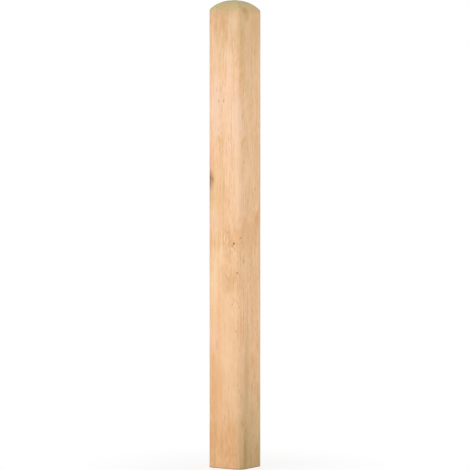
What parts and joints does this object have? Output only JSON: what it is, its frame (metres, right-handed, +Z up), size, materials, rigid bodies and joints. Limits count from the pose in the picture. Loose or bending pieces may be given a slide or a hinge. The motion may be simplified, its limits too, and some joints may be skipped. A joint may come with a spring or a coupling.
{
  "type": "newel post",
  "caption": "Square timber newel post with rounded arrises and a rounded-over top, for ending or turning a stair or deck handrail.",
  "frame": {"origin": "centre of the sawn foot, on the floor", "axes": "+Z up along the post, X and Y square to its faces"},
  "size_m": [0.09, 0.09, 1.015],
  "materials": {
    "softwood": "planed, bare"
  },
  "bodies": {
    "root": {"newel_post": "softwood"}
  },
  "joints": []
}
